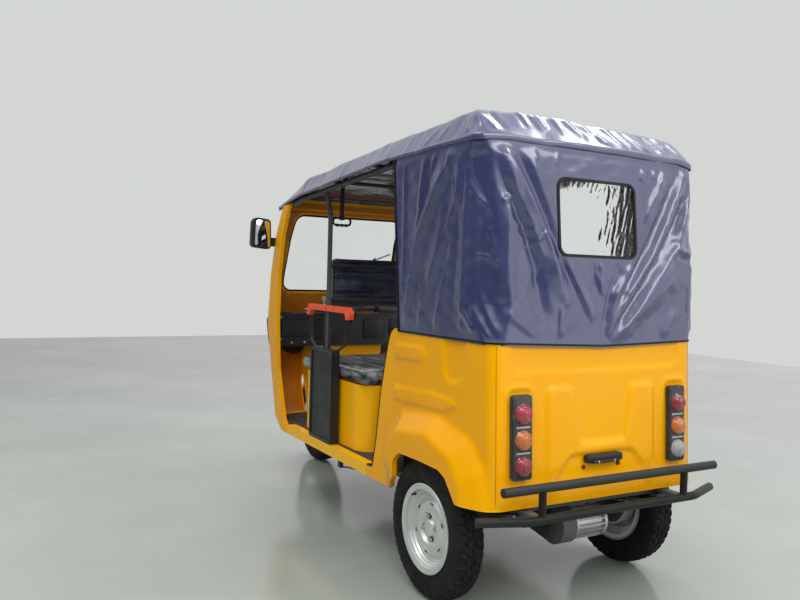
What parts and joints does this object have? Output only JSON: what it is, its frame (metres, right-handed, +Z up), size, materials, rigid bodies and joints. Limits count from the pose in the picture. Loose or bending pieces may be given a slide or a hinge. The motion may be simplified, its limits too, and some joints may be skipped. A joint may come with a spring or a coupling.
{
  "type": "auto rickshaw",
  "caption": "Three-wheeled electric passenger rickshaw with an open-sided moulded tub, facing benches, a fabric canopy and a front windscreen.",
  "frame": {"origin": "on the ground under the middle of the vehicle's overall box", "axes": "+Z up; -Y forward, the way the vehicle drives; +X the vehicle's left"},
  "size_m": [1.2584, 2.9577, 1.82],
  "materials": {
    "body_yellow": "gloss",
    "canopy_fabric": "satin",
    "black_metal": "satin",
    "black_plastic": "matt",
    "grey_plastic": "matt",
    "floor_mat": "ribbed",
    "motor_aluminium": "cast",
    "grip_orange": "satin",
    "rim_silver": "satin",
    "tyre": "matt",
    "seat_black": "satin",
    "lamp_clear": "clear",
    "lamp_red": "gloss",
    "clear_film": "clear film",
    "windscreen_glass": "clear"
  },
  "bodies": {
    "chassis": {"battery_pack": "black_metal", "canopy_curtains": "canopy_fabric", "canopy_frame": "black_metal", "canopy_roof": "canopy_fabric", "chassis_frame": "black_metal", "dashboard": "grey_plastic", "drive_motor": "motor_aluminium", "floor_pan": "floor_mat", "footwell_panel": "body_yellow", "front_cowl": "body_yellow", "guard_grips": "grip_orange", "hanging_handles": "black_plastic", "headlamps": "lamp_clear", "leaf_springs": "black_metal", "middle_backrest": "seat_black", "middle_bench_base": "body_yellow", "middle_bench_cushion": "seat_black", "mirrors": "black_plastic", "plate_lamp": "black_plastic", "rear_axle": "black_metal", "rear_backrest": "seat_black", "rear_bench_base": "body_yellow", "rear_bench_cushion": "seat_black", "rear_bumper": "black_metal", "rear_panel": "body_yellow", "rear_window": "clear_film", "shock_absorbers": "black_metal", "side_guard_left": "black_plastic", "side_guard_right": "black_plastic", "side_panel_left": "body_yellow", "side_panel_right": "body_yellow", "sills": "body_yellow", "tail_lamps": "lamp_red", "wheel_housings": "body_yellow", "windscreen_frame": "body_yellow", "windscreen_glass": "windscreen_glass"},
    "steering": {"front_fork": "black_metal", "front_mudguard": "body_yellow", "handlebar": "black_metal"},
    "front_wheel": {"front_tyre": "tyre", "front_rim": "rim_silver"},
    "rear_wheel_left": {"rear_tyre_left": "tyre", "rear_rim_left": "rim_silver"},
    "rear_wheel_right": {"rear_tyre_right": "tyre", "rear_rim_right": "rim_silver"}
  },
  "joints": [
    {"name": "steering_turn", "type": "hinge", "parent": "chassis", "child": "steering", "pos_m": [0, -1.1739, 0.2543], "axis": [0, 0.454, 0.891], "range_deg": [-35, 35]},
    {"name": "front_wheel_spin", "type": "hinge", "parent": "steering", "child": "front_wheel", "pos_m": [0, -1.1988, 0.267], "axis": [1, 0, 0], "continuous": true},
    {"name": "rear_wheel_left_spin", "type": "hinge", "parent": "chassis", "child": "rear_wheel_left", "pos_m": [0.475, 1.0012, 0.267], "axis": [1, 0, 0], "continuous": true},
    {"name": "rear_wheel_right_spin", "type": "hinge", "parent": "chassis", "child": "rear_wheel_right", "pos_m": [-0.475, 1.0012, 0.267], "axis": [1, 0, 0], "continuous": true}
  ]
}
